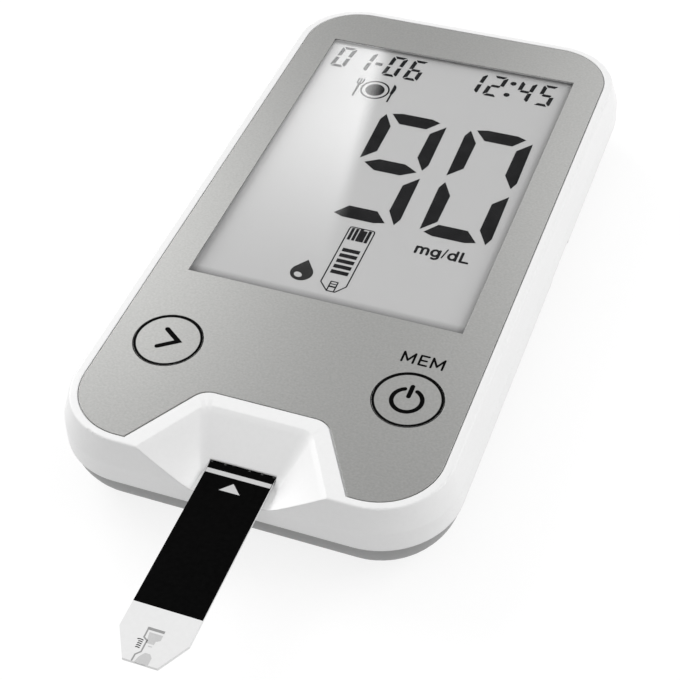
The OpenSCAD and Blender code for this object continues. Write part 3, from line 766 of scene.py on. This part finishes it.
lcd("lcd_reading", figures(READING, big_figure))
lcd("lcd_date", date())
lcd("lcd_time", clock())
lcd("lcd_unit", unit_label())
lcd("lcd_meal_sign", meal_sign())
lcd("lcd_strip_sign", strip_sign())
lcd("lcd_drop_sign", [drop_outline(**DROP)], DROP_INK)
lcd("lcd_drop_shine", [oval(**DROP_SHINE)], FINISHES["lcd_grey"], LAYER)


# Plate and keys ------------------------------------------------------------

PLATE_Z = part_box("front_plate")[1].z / MM
KEY_FLANGE = 0.7  # mm, by which a key's hidden flange stands out from its cap
KEY_R = (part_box("next_key")[1].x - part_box("next_key")[0].x) / 2 / MM - KEY_FLANGE
KEY_RING = {"from": -0.34, "to": -0.01}  # mm from the cap's edge
# Painted shade: a black ring in the gap round each key stands in for the shade in that gap.
KEY_GAP_SHADE_FILLER = {"from": 0.01, "to": 0.11}
SHADE_FILLER_DEPTH = 0.14  # mm, from the plate's face to the foot of the black ring that stands in for the gap's shade


def mem_label():
    """The word MEM in plain strokes."""
    w, base, top = 0.28, -23.12, -21.55
    m_lefts, m_width, e_left, e_right = (12.72, 16.4), 1.42, 14.87, 15.82
    e_top, e_base = top - 0.02, base + 0.02
    shapes = []
    for left in m_lefts:
        right, dip = left + m_width, ((2 * left + m_width) / 2, base + 0.3)
        for stem in ([(left, base), (left, top)], [(left, top), dip], [dip, (right, top)],
                     [(right, top), (right, base)]):
            shapes += stroke(stem, w)
    shapes += stroke([(e_left, e_base), (e_left, e_top)], w)
    for y, right in ((e_top, e_right), ((top + base) / 2, e_right - 0.12), (e_base, e_right)):
        shapes += stroke([(e_left, y), (right, y)], w)
    return shapes


def key_centre(node):
    low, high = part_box(node)
    return (low.x + high.x) / 2 / MM, (low.y + high.y) / 2 / MM


def ring(x, y, reach):
    """A ring round a key's middle, between two distances from its cap's edge."""
    inner, outer = KEY_R + reach["from"], KEY_R + reach["to"]
    return loop(disc(x, y, (inner + outer) / 2, 96), outer - inner)


def next_sign():
    """A chevron that points right."""
    x, y = key_centre("next_key")
    chevron = [(x - 0.86, y + 1.72), (x + 1.3, y + 0.17), (x - 0.86, y - 1.38)]
    return ring(x, y, KEY_RING) + stroke(chevron, 0.64)


def power_sign():
    """A power sign: an open ring with a bar in its gap."""
    x, y = key_centre("power_key")
    sign_x = x - 0.07
    open_ring = arc(sign_x, y - 0.15, 1.83, 25, 335, 48)
    bar = [(sign_x, y + 2.15), (sign_x, y + 0.47)]
    return ring(x, y, KEY_RING) + stroke(open_ring, 0.55) + stroke(bar, 0.57)


def key_gap_shade_filler(node):
    """A black ring in the gap round a key: painted shade, a dark filler that stands in for the gap's own
    shade.
    """
    printed(node + "_gap_shade_filler", ring(*key_centre(node), KEY_GAP_SHADE_FILLER), PLATE_Z - SHADE_FILLER_DEPTH, "casing", INK,
            thickness=SHADE_FILLER_DEPTH - 0.01)


printed("mem_label", mem_label(), PLATE_Z, "casing", INK)
printed("next_key_sign", next_sign(), PLATE_Z, "next_button", INK)
printed("power_key_sign", power_sign(), PLATE_Z, "power_button", INK)
key_gap_shade_filler("next_key")
key_gap_shade_filler("power_key")


# Test strip ----------------------------------------------------------------

STRIP_LOW, STRIP_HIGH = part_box("strip_cover")
STRIP_Z = STRIP_HIGH.z / MM
STRIP_TIP_Y = STRIP_LOW.y / MM
STRIP_HALF = STRIP_HIGH.x / MM
INLET_Y = STRIP_TIP_Y + 0.02
TRACK_PITCH = 1.45  # mm, from one carbon track to the next
TRACK_HALF = 0.5  # mm, half a track's width


def strip_print(name, shapes, material, z=STRIP_Z):
    printed(name, shapes, z, "test_strip", material, thickness=0.008)


def strip_marks():
    """The line at the slot and the arrow that points into it."""
    half = STRIP_HALF - 0.03
    arrow = [(-1.45, -46.3), (1.15, -46.3), (-0.15, -44.98)]
    return [block(-half, -44.25, half, -43.61), arrow]


def strip_spots():
    """Five small holes in a row, just in front of the slot."""
    return [block(x - 0.13, -42.68, x + 0.13, -42.5) for x in (-3.9, -2.2, 0.85, 2.4, 3.88)]


def strip_channel():
    """The sample channel as it shows through the film: a bar and a bent line to the tip."""
    line = [(-0.95, -66.0), (-0.95, -67.2), (-0.46, -67.5), (-0.46, -68.95), (-0.93, -69.45),
            (-0.95, INLET_Y)]
    return [block(-1.05, -66.2, 0.93, -65.87)] + stroke(line, 0.17, round_ends=False)


def strip_chambers():
    """The chamber behind the channel, a short link, and the inlet at the tip."""
    return [
        [(-0.66, -66.45), (-0.42, -67.8), (0.45, -67.8), (0.5, -67.35), (0.93, -67.1), (0.93, -66.45)],
        block(-0.06, -68.15, 0.4, -68.03),
        [(-0.62, INLET_Y), (0.94, INLET_Y), (0.94, -69.35), (0.6, -68.95), (0.0, -68.95), (-0.45, -69.6)],
    ]


def strip_ticks():
    """Five short ticks beside the channel, the first of them longer."""
    shapes = []
    for i in range(5):
        y = -67.56 - 0.25 * i
        left = -1.5 if i == 0 else -1.28
        shapes += stroke([(left, y - 0.03), (-1.15, y + 0.02), (-0.86, y - 0.03)], 0.11)
    return shapes


def strip_tracks():
    """Five carbon tracks on the bare end of the base, under the socket's contacts."""
    start, end = STRIP_HIGH.y / MM + 0.02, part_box("strip_base")[1].y / MM - 0.3
    middles = [TRACK_PITCH * (i - 2) for i in range(5)]
    return [block(x - TRACK_HALF, start, x + TRACK_HALF, end) for x in middles]


strip_print("strip_marks", strip_marks(), WHITE_INK_AND_PAINTED_SHADE)
strip_print("strip_spots", strip_spots(), SPOT_INK)
strip_print("strip_channel", strip_channel(), CHANNEL_INK)
strip_print("strip_chambers", strip_chambers(), CHAMBER_INK)
strip_print("strip_ticks", strip_ticks(), INK)
strip_print("strip_electrodes", strip_tracks(), CARBON_INK,
            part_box("strip_base")[1].z / MM)


# Stage: floor, sky and lamps -----------------------------------------------

FLOOR_HALF = 2.0  # m
FLOOR_GAP = 0.05  # mm, under the meter
FLOOR_GLOW = 0.82  # of white, which its seen side adds to the light that falls on it
FLOOR_SEEN = (0.22, 0.22, 0.22, 1)
SKY_LEVEL = 0.6  # of white, for the soft light
LAMP_SIZE = 0.6  # m
LAMPS = {  # place in m, and watts
    "lamp_left": ((-0.675, 0.35, 0.477), 4.85),
    "lamp_right": ((0.675, 0.35, 0.477), 3.24),
}


def sheet_mesh(name, half_x, half_y):
    """A flat rectangle round its own middle, which faces +Z."""
    mesh = bpy.data.meshes.new(name)
    corners = [(-half_x, -half_y, 0), (half_x, -half_y, 0), (half_x, half_y, 0), (-half_x, half_y, 0)]
    mesh.from_pydata(corners, [], [(0, 1, 2, 3)])
    return mesh


def floor_material():
    """Pale for the soft light, near white for the eye, and open from below."""
    material, tree = empty_material("floor")
    pale = mixed(tree, between(tree, noise(tree, size_mm=3), 0, 1), grey(0.78), grey(0.80))
    plain = add(tree, "ShaderNodeBsdfDiffuse", {"Color": pale}).outputs[0]
    seen = add(tree, "ShaderNodeBsdfDiffuse", {"Color": FLOOR_SEEN}).outputs[0]
    glow = add(tree, "ShaderNodeEmission", {"Color": (1, 1, 1, 1), "Strength": FLOOR_GLOW}).outputs[0]
    front = mixed_shaders(tree, seen_directly(tree), plain, added_shaders(tree, seen, glow))
    behind = add(tree, "ShaderNodeNewGeometry").outputs["Backfacing"]
    clear = add(tree, "ShaderNodeBsdfTransparent").outputs[0]
    finish_material(tree, mixed_shaders(tree, behind, front, clear))
    return material


def make_floor():
    """A pale floor that keeps the shadow; the camera sees its lit part as white."""
    floor = linked("floor", sheet_mesh("floor", FLOOR_HALF, FLOOR_HALF))
    floor.location.z = -FLOOR_GAP * MM
    floor.data.materials.append(floor_material())


def make_world():
    """An even pale sky; the camera and the gloss see it as white."""
    world = bpy.data.worlds.new("studio")
    world.use_nodes = True
    tree = world.node_tree
    tree.nodes.clear()
    strength = between(tree, seen_directly(tree), SKY_LEVEL, 1.0, 0, 1)
    sky = add(tree, "ShaderNodeBackground", {"Color": (1, 1, 1, 1), "Strength": strength})
    add(tree, "ShaderNodeOutputWorld", {"Surface": sky.outputs[0]})
    bpy.context.scene.world = world


def softbox(name, place_m, watts):
    """A square lamp at place_m that faces the meter."""
    data = bpy.data.lights.new(name, "AREA")
    data.size = LAMP_SIZE
    data.energy = watts
    lamp = linked(name, data)
    lamp.location = place_m
    lamp.rotation_euler = (-Vector(place_m)).to_track_quat("-Z", "Y").to_euler()


# Stage: what the plate and the window mirror -------------------------------

CARD_PLACE, CARD_SIZE = (-0.2, 0.5, 0.45), (0.7, 0.9)  # m
CARD_LEVEL = 0.47
CARD_GLOWS = (  # x, y and two radii in m, and level
    (-0.13, -0.07, 0.155, 0.25, 2.4),
    (0.18, 0.07, 0.17, 0.36, 1.5),
)
SHINE_PLACE, SHINE_SIZE = (-0.235, 0.52, 0.44), (0.12, 0.5)  # m
SHINE_TURN = 10  # degrees
SHINE_LEVEL = 3.3
SHINE_EDGE = (0.039, 0.027)  # m across the sheet, from dark to bright
SHINE_SLOPE = (-0.015, 0.03)  # m across it, from SHINE_LOW of that to all of it
SHINE_LOW = 0.6
SHINE_FADE = (-0.13, 0.03)  # m along it, from dark to bright


def panel(name, place_m, size_m, turn, material, receivers):
    """A staged sheet, turned about Z, that only the gloss of the receivers sees."""
    sheet = linked(name, sheet_mesh(name, size_m[0] / 2, size_m[1] / 2))
    sheet.data.materials.append(material)
    sheet.location = place_m
    sheet.rotation_euler.z = math.radians(turn)
    sheet.visible_camera = False
    sheet.visible_diffuse = False
    sheet.visible_shadow = False
    lit = bpy.data.collections.new(name + "_lit")
    for node in receivers:
        lit.objects.link(nodes[node])
    sheet.light_linking.receiver_collection = lit


def glow_spot(tree, x_m, y_m, radius_x, radius_y):
    """1 at a point of the sheet, falling softly to 0 at the radii."""
    shifted = add(tree, "ShaderNodeVectorMath", {0: place(tree), 1: (x_m, y_m, 0)}, operation="SUBTRACT")
    shrink = (1 / radius_x, 1 / radius_y, 0)
    scaled = add(tree, "ShaderNodeVectorMath", {0: shifted.outputs[0], 1: shrink}, operation="MULTIPLY")
    far = add(tree, "ShaderNodeVectorMath", {0: scaled.outputs[0]}, operation="LENGTH").outputs["Value"]
    return softly(tree, far, 1, 0)


def dark_card():
    """A card above the far end: the metal sees it grey, with two glows."""
    material, tree = empty_material("dark_card")
    strength = CARD_LEVEL
    for x_m, y_m, radius_x, radius_y, level in CARD_GLOWS:
        glow = combined(tree, "MULTIPLY", glow_spot(tree, x_m, y_m, radius_x, radius_y), level)
        strength = combined(tree, "ADD", strength, glow)
    finish_material(tree, add(tree, "ShaderNodeEmission", {"Strength": strength}).outputs[0])
    panel("dark_card", CARD_PLACE, CARD_SIZE, 0, material, ["front_plate", "next_key", "power_key"])


def window_shine():
    """A softbox mirrored in the display window; it fades to the near end."""
    material, tree = empty_material("window_shine")
    across = along(tree, "X")
    edge = softly(tree, across, *SHINE_EDGE)
    fade = softly(tree, along(tree, "Y"), *SHINE_FADE)
    slope = between(tree, across, SHINE_LOW, 1, *SHINE_SLOPE)
    level = combined(tree, "MULTIPLY", combined(tree, "MULTIPLY", edge, fade), slope)
    strength = combined(tree, "MULTIPLY", level, SHINE_LEVEL)
    glow = add(tree, "ShaderNodeEmission", {"Strength": strength}).outputs[0]
    clear = add(tree, "ShaderNodeBsdfTransparent").outputs[0]
    finish_material(tree, added_shaders(tree, glow, clear))
    panel("window_shine", SHINE_PLACE, SHINE_SIZE, SHINE_TURN, material, ["display_lens"])


make_floor()
make_world()
for lamp_name, (lamp_place, lamp_watts) in LAMPS.items():
    softbox(lamp_name, lamp_place, lamp_watts)
dark_card()
window_shine()

bpy.context.scene.view_settings.view_transform = "Standard"
